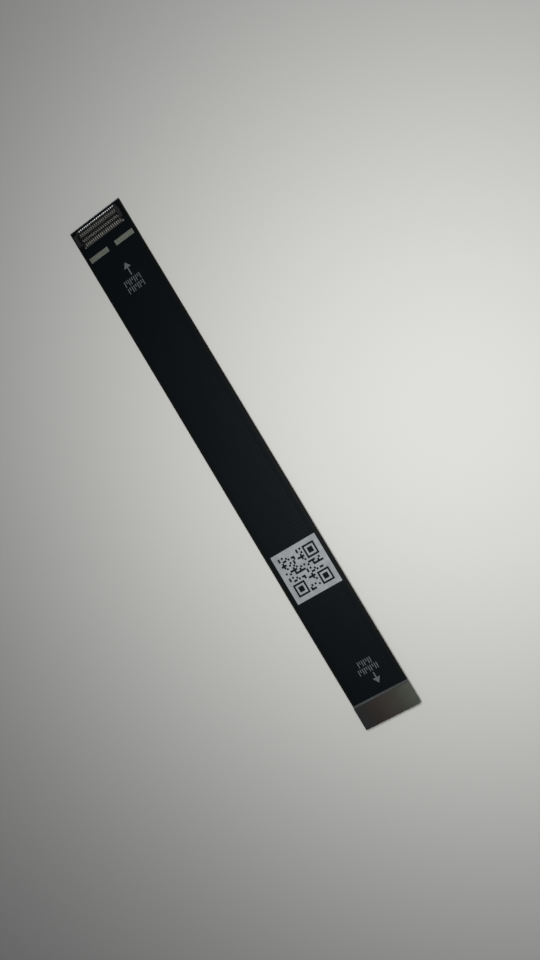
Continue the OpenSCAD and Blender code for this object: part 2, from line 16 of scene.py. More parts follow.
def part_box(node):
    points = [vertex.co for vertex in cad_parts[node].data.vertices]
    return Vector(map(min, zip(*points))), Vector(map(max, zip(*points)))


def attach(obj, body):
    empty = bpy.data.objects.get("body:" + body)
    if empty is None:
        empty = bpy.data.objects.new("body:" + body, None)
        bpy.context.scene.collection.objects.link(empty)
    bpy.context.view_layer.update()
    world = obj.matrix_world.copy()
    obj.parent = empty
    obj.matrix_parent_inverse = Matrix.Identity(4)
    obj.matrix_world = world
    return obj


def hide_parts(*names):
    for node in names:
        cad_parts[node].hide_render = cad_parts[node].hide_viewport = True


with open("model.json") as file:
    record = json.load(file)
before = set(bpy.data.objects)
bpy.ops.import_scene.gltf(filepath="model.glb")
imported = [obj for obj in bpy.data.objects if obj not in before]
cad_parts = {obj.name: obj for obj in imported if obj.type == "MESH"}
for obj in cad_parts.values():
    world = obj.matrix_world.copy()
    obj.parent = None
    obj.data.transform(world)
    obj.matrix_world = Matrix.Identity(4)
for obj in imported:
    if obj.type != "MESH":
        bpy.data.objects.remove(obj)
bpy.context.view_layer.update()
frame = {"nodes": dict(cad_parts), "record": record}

# %% [markdown]
# ## Measures
# Blender works in metres and a maker of connectors in millimetres, so sizes are typed in millimetres and
# turned with MM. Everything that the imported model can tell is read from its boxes. What a box can't tell,
# such as the sheet thickness of a contact, is a named value here.

# %% Read the measures
MM = 0.001


def centre_of(node):
    """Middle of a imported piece's box, in metres."""
    low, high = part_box(node)
    return (Vector(low) + Vector(high)) / 2


def span_of(node):
    """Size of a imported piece's box, in metres."""
    low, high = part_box(node)
    return Vector(high) - Vector(low)


flex_length, flex_width, _ = span_of("core_film")
film_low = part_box("bottom_coverlay")[0].z
coverlay_thickness = 0.03 * MM
film_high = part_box("bottom_coverlay")[1].z - coverlay_thickness
flex_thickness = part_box("top_coverlay")[1].z - film_high
rise_margin = 1.0 * MM
rise_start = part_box("receptacle_plate")[1].x + rise_margin
rise_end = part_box("plug_plate_bond")[0].x - rise_margin
# The copper stops this far from both long edges
bare_margin = 0.45 * MM
contact_pitch = 0.4 * MM
contacts_per_row = 20
contact_width = 0.18 * MM
row_half = (contacts_per_row - 1) * contact_pitch / 2
print("film", flex_length, flex_width, "levels", film_low, film_high, "thickness", flex_thickness)

receptacle_middle = centre_of("receptacle_housing")
receptacle_half = span_of("receptacle_housing").x / 2
receptacle_tail_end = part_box("receptacle_inner_contacts")[1].x - receptacle_middle.x
receptacle_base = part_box("receptacle_housing")[0].z
plug_middle = centre_of("plug_housing")
plug_tail_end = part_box("plug_inner_contacts")[1].x - plug_middle.x
plug_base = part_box("plug_housing")[1].z
plug_height = span_of("plug_housing").z
spring_thickness = 0.08 * MM
blade_thickness = 0.06 * MM
print("tails reach", receptacle_tail_end, plug_tail_end, "from the middles of the connectors")

# %% [markdown]
# ## Two helpers for nodes
# Shader trees and Geometry Nodes trees are both made of nodes with sockets. One function adds a node, sets
# its properties, and fills its inputs with either a value or a link. A second turns a hex colour, which is
# written in sRGB, into the linear numbers that a shader adds up.

# %% Node and colour helpers


def add_node(tree, kind, inputs=None, **settings):
    """Adds a node. inputs maps a socket's name or number to a value or to another node's output."""
    made = tree.nodes.new(kind)
    for name, value in settings.items():
        setattr(made, name, value)
    for key, value in (inputs or {}).items():
        socket = made.inputs[key]
        if isinstance(value, bpy.types.NodeSocket):
            tree.links.new(value, socket)
        else:
            socket.default_value = value
    return made


def srgb(code):
    """Linear red, green, blue and alpha of a colour such as #8A8C90."""
    parts = [int(code[i : i + 2], 16) / 255 for i in (1, 3, 5)]
    linear = [c / 12.92 if c <= 0.04045 else ((c + 0.055) / 1.055) ** 2.4 for c in parts]
    return (*linear, 1.0)


def new_material(name):
    """A new material and its empty tree."""
    material = bpy.data.materials.new(name)
    material.use_nodes = True
    tree = material.node_tree
    tree.nodes.clear()
    return material, tree


def finish_material(tree, shader):
    """Links a shader to a new output."""
    add_node(tree, "ShaderNodeOutputMaterial", {"Surface": shader.outputs[0]})


print("white as linear:", srgb("#FFFFFF"))

# %% [markdown]
# ## Camera
# The cable is seen almost from above, leaning about 22 degrees towards its far long edge and a touch
# towards the plug, so that its length runs from the upper left to the lower right. The camera's axes are
# worked out from that: the cable's +X has to fall along a given direction of the picture, and the rest
# follows from the lean.

# %% Set the camera
# Lean of the line of sight from the vertical, towards the far edge and towards the plug
LEAN = math.radians(21.655)
TIP = math.radians(1.414)
# How steeply the cable falls across the picture
FALL = math.radians(58.9)
CAMERA_DISTANCE = 207.8 * MM
LENS = 46.6
aim = Vector((4.58 * MM, 2.73 * MM, 0.5 * MM))

backward = Vector((math.sin(TIP), math.sin(LEAN) * math.cos(TIP), math.cos(LEAN) * math.cos(TIP)))
along = (Vector((1, 0, 0)) - backward * backward.x).normalized()
aside = backward.cross(along)
right = math.cos(FALL) * along + math.sin(FALL) * aside
up = -math.sin(FALL) * along + math.cos(FALL) * aside

camera = bpy.data.objects.new("camera", bpy.data.cameras.new("camera"))
bpy.context.scene.collection.objects.link(camera)
camera.data.lens = LENS
camera.data.sensor_width = 36
camera.data.clip_start = 5 * MM
camera.data.clip_end = 5000 * MM
turn = Matrix((right, up, backward)).transposed().to_4x4()
camera.matrix_world = Matrix.Translation(aim + backward * CAMERA_DISTANCE) @ turn
bpy.context.scene.camera = camera
print("camera at", [round(v, 4) for v in camera.location])

# %% [markdown]
# ## Floor and light
# The floor is a plain pale sheet. One soft lamp hangs over the far side of the cable, close enough that
# its pool of light fades towards the corners. A broad lamp stands low beyond the receptacle end. It is
# linked to the contacts and the solder only, which slope that way and mirror it, so it leaves the floor
# as it is. A dim world fills the shadows.

# %% Lay the floor
bpy.context.scene.view_settings.view_transform = "Standard"
FLOOR_SIZE = 4000 * MM


def floor_material():
    """Matt painted board: broad, faint unevenness and no gloss to speak of."""
    material, tree = new_material("matt_painted_board")
    coordinates = add_node(tree, "ShaderNodeTexCoord")
    cloud = add_node(
        tree,
        "ShaderNodeTexNoise",
        {"Vector": coordinates.outputs["Object"], "Scale": 9.0, "Detail": 2.0},
    )
    tone = add_node(
        tree,
        "ShaderNodeMix",
        {0: cloud.outputs[0], 6: srgb("#D9D9D6"), 7: srgb("#DEDDDA")},
        data_type="RGBA",
    )
    shader = add_node(tree, "ShaderNodeBsdfPrincipled", {"Base Color": tone.outputs[2], "Roughness": 0.8})
    finish_material(tree, shader)
    return material


bpy.ops.mesh.primitive_plane_add(size=FLOOR_SIZE)
floor = bpy.context.object
floor.name = "floor"
floor.data.materials.append(floor_material())
print("floor is", FLOOR_SIZE, "metres wide")

# %% Hang the lamps


def hang_lamp(name, size, energy, colour, place, target):
    """A round soft lamp that faces a point."""
    data = bpy.data.lights.new(name, "AREA")
    data.shape = "DISK"
    data.size = size
    data.energy = energy
    data.color = colour
    hung = bpy.data.objects.new(name, data)
    bpy.context.scene.collection.objects.link(hung)
    hung.location = place
    hung.rotation_euler = (Vector(target) - Vector(place)).to_track_quat("-Z", "Y").to_euler()
    return hung


lamp = hang_lamp(
    "lamp",
    size=70 * MM,
    energy=0.0885,
    colour=(1.0, 1.0, 0.99),
    place=(10 * MM, 35 * MM, 109 * MM),
    target=(10 * MM, 35 * MM, 0),
)
# A little less than all round, so that the far floor gets no glancing light
lamp.data.spread = math.radians(153)
fill = hang_lamp(
    "fill",
    size=160 * MM,
    energy=1.3,
    colour=(0.95, 0.98, 1.0),
    place=(-440 * MM, -60 * MM, 70 * MM),
    target=(-47 * MM, 0, 0),
)
metal_pieces = bpy.data.collections.new("metal_pieces")
fill.light_linking.receiver_collection = metal_pieces

world = bpy.data.worlds.new("studio")
world.use_nodes = True
world.node_tree.nodes["Background"].inputs["Color"].default_value = srgb("#C9CCD2")
world.node_tree.nodes["Background"].inputs["Strength"].default_value = 0.13
bpy.context.scene.world = world
print("lamps at", [tuple(round(v, 3) for v in light.location) for light in (lamp, fill)])

# %% [markdown]
# ## Finishes
# Each finish is named for what the real one is. Patterns read object coordinates in metres, so a pattern
# of so many cells per metre is 1 divided by its real size. The black coverlay comes first. It is a film
# with a matting agent in it. One flat black would look like a hole in the picture, so noise of two sizes
# breaks up its colour and its sheen.

# %% Black coverlay film


def coverlay_material():
    """Matt black polyimide film, rolled on over copper. It gives a deep black with a broad satin sheen, and
    where there is no copper under it, along both long edges, it looks a little brown."""
    material, tree = new_material("black_polyimide_coverlay")
    coordinates = add_node(tree, "ShaderNodeTexCoord")
    place = add_node(tree, "ShaderNodeSeparateXYZ", {0: coordinates.outputs["Object"]})
    distance = add_node(tree, "ShaderNodeMath", {0: place.outputs["Y"]}, operation="ABSOLUTE")
    bare_edge = flex_width / 2 - bare_margin
    blend = 0.04 * MM
    margin = add_node(
        tree,
        "ShaderNodeMapRange",
        {"Value": distance.outputs[0], "From Min": bare_edge - blend, "From Max": bare_edge + blend},
    )
    film_mottle = add_node(
        tree,
        "ShaderNodeTexNoise",
        {"Vector": coordinates.outputs["Object"], "Scale": 1 / (9 * MM), "Detail": 3.0, "Roughness": 0.6},
    )
    black = add_node(
        tree,
        "ShaderNodeMix",
        {0: film_mottle.outputs[0], 6: srgb("#03080B"), 7: srgb("#050D12")},
        data_type="RGBA",
    )
    colour = add_node(
        tree,
        "ShaderNodeMix",
        {0: margin.outputs[0], 6: black.outputs[2], 7: srgb("#0A0D0A")},
        data_type="RGBA",
    )
    matting = add_node(
        tree,
        "ShaderNodeTexNoise",
        {"Vector": coordinates.outputs["Object"], "Scale": 1 / (0.12 * MM), "Detail": 2.0},
    )
    roughness = add_node(
        tree,
        "ShaderNodeMapRange",
        {"Value": matting.outputs[0], "To Min": 0.36, "To Max": 0.5},
    )
    grain = add_node(
        tree,
        "ShaderNodeBump",
        {"Height": matting.outputs[0], "Strength": 0.06, "Distance": 0.01 * MM},
    )
    shader = add_node(
        tree,
        "ShaderNodeBsdfPrincipled",
        {
            "Base Color": colour.outputs[2],
            "Roughness": roughness.outputs[0],
            "Normal": grain.outputs[0],
            "IOR": 1.5,
            "Specular IOR Level": 0.15,
        },
    )
    finish_material(tree, shader)
    return material


coverlay = coverlay_material()
print("made", coverlay.name)

# %% [markdown]
# ### Legend ink
# A thin print shows the weave of the screen and some of the black beneath. An image of a print would be
# tied to one size, so a pattern of cells at the threads' own spacing is used.

# %% White ink


def ink_material(name, light, dark):
    """White legend ink pushed through a mesh screen. It is thin, so black shows through as a cool grey, and
    the screen's threads leave a fine weave. Real mesh is 0.06 mm; it is drawn at 0.22 mm so that it shows."""
    material, tree = new_material(name)
    coordinates = add_node(tree, "ShaderNodeTexCoord")
    mesh_turn = add_node(
        tree,
        "ShaderNodeMapping",
        {"Vector": coordinates.outputs["Object"], "Rotation": (0, 0, math.radians(22))},
    )
    threads = add_node(
        tree,
        "ShaderNodeTexVoronoi",
        {"Vector": mesh_turn.outputs[0], "Scale": 1 / (0.22 * MM), "Randomness": 0.25},
        distance="CHEBYCHEV",
    )
    patches = add_node(
        tree,
        "ShaderNodeTexNoise",
        {"Vector": coordinates.outputs["Object"], "Scale": 1 / (1.4 * MM), "Detail": 3.0},
    )
    cover = add_node(
        tree,
        "ShaderNodeMapRange",
        {
            "Value": threads.outputs["Distance"],
            "From Min": 0.1,
            "From Max": 0.62,
            "To Min": 0.35,
            "To Max": 0.9,
        },
    )
    amount = add_node(
        tree,
        "ShaderNodeMath",
        {0: cover.outputs[0], 1: patches.outputs[0], 2: 0.05},
        operation="MULTIPLY_ADD",
    )
    colour = add_node(
        tree,
        "ShaderNodeMix",
        {0: amount.outputs[0], 6: srgb(dark), 7: srgb(light)},
        data_type="RGBA",
    )
    relief = add_node(
        tree,
        "ShaderNodeBump",
        {"Height": cover.outputs[0], "Strength": 0.25, "Distance": 0.006 * MM},
    )
    shader = add_node(
        tree,
        "ShaderNodeBsdfPrincipled",
        {"Base Color": colour.outputs[2], "Roughness": 0.62, "Normal": relief.outputs[0]},
    )
    finish_material(tree, shader)
    return material


ink = ink_material("white_screen_ink", "#BEC2C5", "#7D8286")
# Narrow strokes take less ink through the screen, so they come out greyer
thin_ink = ink_material("thin_screen_ink", "#747A7D", "#4C5255")
print("made", ink.name, "and", thin_ink.name)

# %% [markdown]
# ### Metals
# Plating, solder and foil are bare metal, and differ in colour, in gloss and in the size of their grain. One
# function with those as its inputs serves them all, which makes them easy to compare.

# %% Metals


def metal_material(name, light, dark, rough, grain_mm, stretch=(1, 1, 1)):
    """A metal whose colour and gloss vary with a grain of the given size, drawn out by stretch."""
    material, tree = new_material(name)
    coordinates = add_node(tree, "ShaderNodeTexCoord")
    lay = add_node(tree, "ShaderNodeMapping", {"Vector": coordinates.outputs["Object"], "Scale": stretch})
    grain = add_node(
        tree,
        "ShaderNodeTexNoise",
        {"Vector": lay.outputs[0], "Scale": 1 / (grain_mm * MM), "Detail": 4.0, "Roughness": 0.6},
    )
    colour = add_node(
        tree,
        "ShaderNodeMix",
        {0: grain.outputs[0], 6: srgb(dark), 7: srgb(light)},
        data_type="RGBA",
    )
    roughness = add_node(
        tree,
        "ShaderNodeMapRange",
        {"Value": grain.outputs[0], "To Min": rough[0], "To Max": rough[1]},
    )
    relief = add_node(
        tree,
        "ShaderNodeBump",
        {"Height": grain.outputs[0], "Strength": 0.1, "Distance": 0.01 * MM},
    )
    shader = add_node(
        tree,
        "ShaderNodeBsdfPrincipled",
        {
            "Base Color": colour.outputs[2],
            "Metallic": 1.0,
            "Roughness": roughness.outputs[0],
            "Normal": relief.outputs[0],
        },
    )
    finish_material(tree, shader)
    return material


# Immersion gold over nickel on etched copper: pale, slightly pebbled
pad_gold = metal_material("immersion_gold", "#CDD0C4", "#8F9386", rough=(0.42, 0.6), grain_mm=0.35)
# Gold flash on stamped phosphor bronze: brighter, with drawing lines along the strip
contact_gold = metal_material(
    "gold_flashed_bronze",
    "#D4D4D0",
    "#A2A09B",
    rough=(0.5, 0.66),
    grain_mm=0.05,
    stretch=(0.3, 1, 0.3),
)
# Tin-plated phosphor bronze sheet of the hold-downs
tin_plate = metal_material("tin_plated_bronze", "#56585A", "#303234", rough=(0.4, 0.6), grain_mm=0.1)
# Reflowed tin solder: bright and a little lumpy
solder = metal_material("reflowed_solder", "#C4C7C8", "#939698", rough=(0.34, 0.5), grain_mm=0.12)
# The inner joints get a darker copy of the same solder: painted shade, so that the inner row looks less lit
# than the outer
shaded_solder = metal_material(
    "reflowed_solder_painted_shade",
    "#6C6F71",
    "#4C4F51",
    rough=(0.42, 0.58),
    grain_mm=0.12,
)
# Etched copper foil under the coverlays
copper = metal_material("etched_copper", "#3A2418", "#20140E", rough=(0.4, 0.6), grain_mm=0.1)
metals = (pad_gold, contact_gold, tin_plate, solder, shaded_solder, copper)
print("metals:", [metal.name for metal in metals])

# %% [markdown]
# ### Stainless strip
# The plates are rolled strip, tinted by the heat of bonding. The tint drifts across the cable, which one
# colour can't show, so a colour ramp along Y carries it;
# the ramp also grows lighter towards +Y, which is a painted reflection. A drawn-out noise gives the marks of
# the rolls.

# %% Stainless strip


def stainless_material():
    """Stainless strip with a satin roll finish. A colour ramp runs from a dark steel grey at the -Y long edge
    through brown to a lighter greenish grey at the +Y edge.
    Its hue is a tint that bonding heat left; its lightening towards +Y is a painted reflection. The grain runs
    across the cable."""
    material, tree = new_material("satin_rolled_stainless")
    coordinates = add_node(tree, "ShaderNodeTexCoord")
    place = add_node(tree, "ShaderNodeSeparateXYZ", {0: coordinates.outputs["Object"]})
    drift = add_node(
        tree,
        "ShaderNodeTexNoise",
        {"Vector": coordinates.outputs["Object"], "Scale": 1 / (4 * MM), "Detail": 2.0},
    )
    across = add_node(
        tree,
        "ShaderNodeMapRange",
        {"Value": place.outputs["Y"], "From Min": -flex_width / 2, "From Max": flex_width / 2},
    )
    wander = add_node(
        tree,
        "ShaderNodeMath",
        {0: drift.outputs[0], 1: 0.3, 2: -0.15},
        operation="MULTIPLY_ADD",
    )
    tint_place = add_node(
        tree,
        "ShaderNodeMath",
        {0: across.outputs[0], 1: wander.outputs[0]},
        operation="ADD",
    )
    # The ramp carries the heat tint and a painted reflection: it is lighter towards +Y
    tint_and_sheen_ramp = add_node(tree, "ShaderNodeValToRGB", {0: tint_place.outputs[0]})
    stops = tint_and_sheen_ramp.color_ramp.elements
    stops[0].color = srgb("#484B4C")
    stops[1].color = srgb("#6F766A")
    stops.new(0.3).color = srgb("#544C48")
    stops.new(0.65).color = srgb("#5F5B55")
    lay = add_node(
        tree,
        "ShaderNodeMapping",
        {"Vector": coordinates.outputs["Object"], "Scale": (1, 0.08, 1)},
    )
    grain = add_node(
        tree,
        "ShaderNodeTexNoise",
        {"Vector": lay.outputs[0], "Scale": 1 / (0.25 * MM), "Detail": 4.0, "Roughness": 0.6},
    )
    roughness = add_node(
        tree,
        "ShaderNodeMapRange",
        {"Value": grain.outputs[0], "To Min": 0.42, "To Max": 0.52},
    )
    relief = add_node(
        tree,
        "ShaderNodeBump",
        {"Height": grain.outputs[0], "Strength": 0.05, "Distance": 0.01 * MM},
    )
    shader = add_node(
        tree,
        "ShaderNodeBsdfPrincipled",
        {
            "Base Color": tint_and_sheen_ramp.outputs[0],
            "Metallic": 1.0,
            "Roughness": roughness.outputs[0],
            "Normal": relief.outputs[0],
        },
    )
    finish_material(tree, shader)
    return material


stainless = stainless_material()
print("made", stainless.name)

# %% [markdown]
# ### Plastics and films
# The housings are moulded of a filled polymer whose fibres show as faint marks. The core film and the
# adhesive are coloured all through. Both could be made see-through, but only their cut edges show, so a
# solid colour does.

# %% Plastics and films


def moulding_material():
    """Liquid crystal polymer with glass fibre, moulded: near black, satin, with short pale flow marks."""
    material, tree = new_material("glass_filled_lcp")
    coordinates = add_node(tree, "ShaderNodeTexCoord")
    flow = add_node(
        tree,
        "ShaderNodeMapping",
        {"Vector": coordinates.outputs["Object"], "Scale": (1, 0.25, 1)},
    )
    fibre = add_node(
        tree,
        "ShaderNodeTexNoise",
        {"Vector": flow.outputs[0], "Scale": 1 / (0.06 * MM), "Detail": 3.0, "Roughness": 0.7},
    )
    colour = add_node(
        tree,
        "ShaderNodeMix",
        {0: fibre.outputs[0], 6: srgb("#0B0B0C"), 7: srgb("#191817")},
        data_type="RGBA",
    )
    relief = add_node(
        tree,
        "ShaderNodeBump",
        {"Height": fibre.outputs[0], "Strength": 0.12, "Distance": 0.01 * MM},
    )
    shader = add_node(
        tree,
        "ShaderNodeBsdfPrincipled",
        {"Base Color": colour.outputs[2], "Roughness": 0.42, "Normal": relief.outputs[0]},
    )
    finish_material(tree, shader)
    return material


def film_material(name, light, dark, rough, cloud_mm):
    """A film or glue that is coloured all through, with soft clouds in it."""
    material, tree = new_material(name)
    coordinates = add_node(tree, "ShaderNodeTexCoord")
    cloud = add_node(
        tree,
        "ShaderNodeTexNoise",
        {"Vector": coordinates.outputs["Object"], "Scale": 1 / (cloud_mm * MM), "Detail": 3.0},
    )
    colour = add_node(
        tree,
        "ShaderNodeMix",
        {0: cloud.outputs[0], 6: srgb(dark), 7: srgb(light)},
        data_type="RGBA",
    )
    shader = add_node(
        tree,
        "ShaderNodeBsdfPrincipled",
        {"Base Color": colour.outputs[2], "Roughness": rough, "IOR": 1.55},
    )
    finish_material(tree, shader)
    return material


moulding = moulding_material()
# Amber core film, seen only at the cut edges
amber = film_material("amber_polyimide", "#2A2112", "#1C160C", rough=0.45, cloud_mm=1.5)
# Cured sheet adhesive, pressed out along the plate's edge
glue = film_material("cured_sheet_adhesive", "#585B5C", "#2A2D30", rough=0.4, cloud_mm=0.5)
print("plastics:", moulding.name, amber.name, glue.name)

# %% [markdown]
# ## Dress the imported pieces
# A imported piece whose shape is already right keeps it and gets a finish.

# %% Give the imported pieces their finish
finish_of = {
    "polyimide": amber,
    "copper_foil": copper,
    "black_coverlay": coverlay,
    "plated_gold": pad_gold,
    "stiffener_steel": stainless,
    "bonding_film": glue,
    "connector_moulding": moulding,
    "contact_gold": contact_gold,
    "hold_down_metal": tin_plate,
    "solder": solder,
    "white_ink": ink,
}
for entry in frame["record"]["subparts"]:
    piece = frame["nodes"][entry["node"]]
    for slot in piece.material_slots:
        slot.material = finish_of[entry["material_slot"]]
for name in ("receptacle_arrow", "plug_arrow", "receptacle_mark", "plug_mark"):
    for slot in frame["nodes"][name].material_slots:
        slot.material = thin_ink

# %% [markdown]
# ## Trees that grow geometry
# Contacts, joints and pads stand in rows, so each is drawn once and a Geometry Nodes tree repeats it. Copying
# in a Python loop would work too, but a tree keeps the count and the pitch as inputs that can be read and
# changed. The result is turned into a plain mesh and the modifier is taken off.

# %% Geometry Nodes helpers
# Points nearer than this are one point
WELD = 0.0001 * MM


def new_tree(name, inputs):
    """A tree with geometry in and out and further named inputs. Returns it and its inputs by name."""
    tree = bpy.data.node_groups.new(name, "GeometryNodeTree")
    tree.interface.new_socket("Geometry", in_out="INPUT", socket_type="NodeSocketGeometry")
    for label, kind in inputs.items():
        tree.interface.new_socket(label, in_out="INPUT", socket_type="NodeSocket" + kind)
    tree.interface.new_socket("Geometry", in_out="OUTPUT", socket_type="NodeSocketGeometry")
    return tree, tree.nodes.new("NodeGroupInput").outputs


def finish_tree(tree, geometry, material):
    """Realizes instances, sets the material and ends the tree."""
    real = add_node(tree, "GeometryNodeRealizeInstances", {0: geometry})
    dressed = add_node(tree, "GeometryNodeSetMaterial", {"Geometry": real.outputs[0], "Material": material})
    add_node(tree, "NodeGroupOutput", {0: dressed.outputs[0]})


def grow(name, tree, base, values):
    """Runs a tree on a base mesh with the given inputs and keeps the result as a plain mesh."""
    piece = bpy.data.objects.new(name, base)
    bpy.context.scene.collection.objects.link(piece)
    modifier = piece.modifiers.new("rule", "NODES")
    modifier.node_group = tree
    sockets = {item.name: item.identifier for item in tree.interface.items_tree if item.in_out == "INPUT"}
    for label, value in values.items():
        modifier[sockets[label]] = value
    shape = bpy.data.meshes.new_from_object(piece.evaluated_get(bpy.context.evaluated_depsgraph_get()))
    piece.modifiers.remove(modifier)
    piece.data = shape
    return piece


def seat(piece, slot, *nodes):
    """Lets a piece ride on the body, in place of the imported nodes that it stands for. Bright metal also
    gets the light of the second lamp."""
    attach(piece, "root")
    if nodes:
        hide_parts(*nodes)
    if slot in ("solder", "contact_gold"):
        metal_pieces.objects.link(piece)
    corners = [vertex.co for vertex in piece.data.vertices]
    low = [round(min(c[i] for c in corners) / MM, 3) for i in range(3)]
    high = [round(max(c[i] for c in corners) / MM, 3) for i in range(3)]
    print(piece.name, len(piece.data.polygons), "faces", low, high)


def mesh_of(name, points, edges=(), faces=()):
    """A mesh from points and what joins them."""
    mesh = bpy.data.meshes.new(name)
    mesh.from_pydata([tuple(p) for p in points], list(edges), list(faces))
    return mesh


def repeat_in_row(tree, inputs, shape, scale=None):
    """Stands a shape at every place of a row along Y, then moves the row to its place."""
    gaps = add_node(tree, "ShaderNodeMath", {0: inputs["Count"], 1: 1.0}, operation="SUBTRACT")
    length = add_node(tree, "ShaderNodeMath", {0: gaps.outputs[0], 1: inputs["Pitch"]}, operation="MULTIPLY")
    first = add_node(tree, "ShaderNodeMath", {0: length.outputs[0], 1: -0.5}, operation="MULTIPLY")
    start = add_node(tree, "ShaderNodeCombineXYZ", {"Y": first.outputs[0]})
    step = add_node(tree, "ShaderNodeCombineXYZ", {"Y": inputs["Pitch"]})
    places = add_node(
        tree,
        "GeometryNodeMeshLine",
        {"Count": inputs["Count"], "Start Location": start.outputs[0], "Offset": step.outputs[0]},
    )
    copies = add_node(tree, "GeometryNodeInstanceOnPoints", {"Points": places.outputs[0], "Instance": shape})
    if scale is not None:
        tree.links.new(scale, copies.inputs["Scale"])
    moved = add_node(
        tree,
        "GeometryNodeTransform",
        {"Geometry": copies.outputs[0], "Translation": inputs["Place"]},
    )
    return moved.outputs[0]


print("helpers ready")

# %% [markdown]
# ## Contacts
# A contact is blanked from strip and bent in a press, so it has one thickness everywhere, a small inside
# radius at each bend and coined edges. It could be modelled as a solid, but its centre line says it all: the
# line is drawn with sharp corners, the tree rounds them, sweeps the strip's section along, and repeats it.

# %% The tree of the stamped contacts
strip_tree, strip_in = new_tree(
    "stamped_strip_row",
    {
        "Bend Radius": "Float",
        "Strip Width": "Float",
        "Strip Thickness": "Float",
        "Edge Radius": "Float",
        "Count": "Int",
        "Pitch": "Float",
        "Place": "Vector",
        "Material": "Material",
    },
)
centre_line = add_node(strip_tree, "GeometryNodeMeshToCurve", {0: strip_in["Geometry"]})
bent = add_node(
    strip_tree,
    "GeometryNodeFilletCurve",
    {"Curve": centre_line.outputs[0], "Count": 4, "Radius": strip_in["Bend Radius"], "Limit Radius": True},
    mode="POLY",
)
section = add_node(
    strip_tree,
    "GeometryNodeCurvePrimitiveQuadrilateral",
    {"Width": strip_in["Strip Width"], "Height": strip_in["Strip Thickness"]},
)
coined = add_node(
    strip_tree,
    "GeometryNodeFilletCurve",
    {"Curve": section.outputs[0], "Count": 1, "Radius": strip_in["Edge Radius"], "Limit Radius": True},
    mode="POLY",
)
swept = add_node(
    strip_tree,
    "GeometryNodeCurveToMesh",
    {"Curve": bent.outputs[0], "Profile Curve": coined.outputs[0], "Fill Caps": True},
)
finish_tree(strip_tree, repeat_in_row(strip_tree, strip_in, swept.outputs[0]), strip_in["Material"])
print(strip_tree.name, "has", len(strip_tree.nodes), "nodes")

# %% Draw the centre lines and grow the contacts
island_half = 0.2 * MM
island_top = 0.55 * MM
housing_wall = 0.24 * MM
channel_half = receptacle_half - housing_wall
channel_floor = 0.2 * MM
spring_foot = 0.1 * MM
spring_crest = 0.23 * MM
crest_drop = 0.15 * MM
wall_arm = 0.3 * MM
mating_gap = 0.07 * MM
ring_inner = island_half + mating_gap
ring_outer = channel_half - mating_gap
blade_end = 0.3 * MM


def chain(name, side, up, *lines):
    """Centre lines given as across and height, on one side of a connector."""
    points = []
    edges = []
    for line in lines:
        first = len(points)
        points += [(side * across, 0, up * height) for across, height in line]
        edges += [(i, i + 1) for i in range(first, len(points) - 1)]
    return mesh_of(name, points, edges)


spring_line = [
    (receptacle_tail_end, spring_thickness / 2),
    (receptacle_half, spring_thickness / 2),
    (channel_half + spring_foot, channel_floor - spring_thickness / 2),
    (island_half + spring_foot, channel_floor - spring_thickness / 2),
    (island_half + (spring_foot + spring_crest) / 2 - spring_thickness / 4, island_top - 2 * crest_drop),
    (island_half + spring_crest, island_top - crest_drop),
    (island_half + spring_thickness, island_top),
]
arm_line = [
    (channel_half + spring_thickness / 2, channel_floor - spring_thickness / 2),
    (channel_half + spring_thickness / 2, channel_floor + wall_arm),
]
blade_line = [
    (plug_tail_end, blade_thickness / 2),
    (ring_outer - blade_thickness / 2, blade_thickness / 2),
    (ring_outer - blade_thickness / 2, plug_height - blade_thickness / 2),
    (ring_inner + blade_thickness / 2, plug_height - blade_thickness / 2),
    (ring_inner + blade_thickness / 2, blade_end),
]
shared_inputs = {
    "Strip Width": contact_width,
    "Count": contacts_per_row,
    "Pitch": contact_pitch,
    "Material": contact_gold,
}
for side, row in ((1, "inner"), (-1, "outer")):
    springs = grow(
        "receptacle_" + row + "_springs",
        strip_tree,
        chain("spring_lines", side, 1, spring_line, arm_line),
        {
            **shared_inputs,
            "Bend Radius": 0.07 * MM,
            "Strip Thickness": spring_thickness,
            "Edge Radius": 0.015 * MM,
            "Place": (receptacle_middle.x, 0.0, receptacle_base),
        },
    )
    seat(springs, "contact_gold", "receptacle_" + row + "_contacts")
    blades = grow(
        "plug_" + row + "_blades",
        strip_tree,
        chain("blade_lines", side, -1, blade_line),
        {
            **shared_inputs,
            "Bend Radius": 0.06 * MM,
            "Strip Thickness": blade_thickness,
            "Edge Radius": 0.012 * MM,
            "Place": (plug_middle.x, 0.0, plug_base),
        },
    )
    seat(blades, "contact_gold", "plug_" + row + "_contacts")

# %% [markdown]
# ## Solder joints
# Reflowed solder wets the tail and the land and pulls into a hollow slope between them. One joint is lofted
# from sections whose height falls as a square, and the tree repeats it with a little more or less solder in
# each, from a fixed seed.

# %% The tree of the joints
joint_tree, joint_in = new_tree(
    "solder_row",
    {
        "Count": "Int",
        "Pitch": "Float",
        "Unevenness": "Float",
        "Seed": "Int",
        "Place": "Vector",
        "Material": "Material",
    },
)
least = add_node(joint_tree, "ShaderNodeMath", {0: 1.0, 1: joint_in["Unevenness"]}, operation="SUBTRACT")
low_scale = add_node(joint_tree, "ShaderNodeCombineXYZ", {0: 1.0, 1: least.outputs[0], 2: least.outputs[0]})
amount = add_node(
    joint_tree,
    "FunctionNodeRandomValue",
    {0: low_scale.outputs[0], 1: (1.0, 1.0, 1.0), "Seed": joint_in["Seed"]},
    data_type="FLOAT_VECTOR",
)
finish_tree(
    joint_tree,
    repeat_in_row(joint_tree, joint_in, joint_in["Geometry"], amount.outputs[0]),
    joint_in["Material"],
)
print(joint_tree.name, "has", len(joint_tree.nodes), "nodes")

# %% Loft one joint
land_width = 0.27 * MM
solder_toe = 0.2 * MM
toe_thickness = 0.004 * MM
# A joint is this share narrower at its toe
toe_narrowing = 0.3
# Below 1, a section is fuller than half an ellipse
flank_power = 0.7


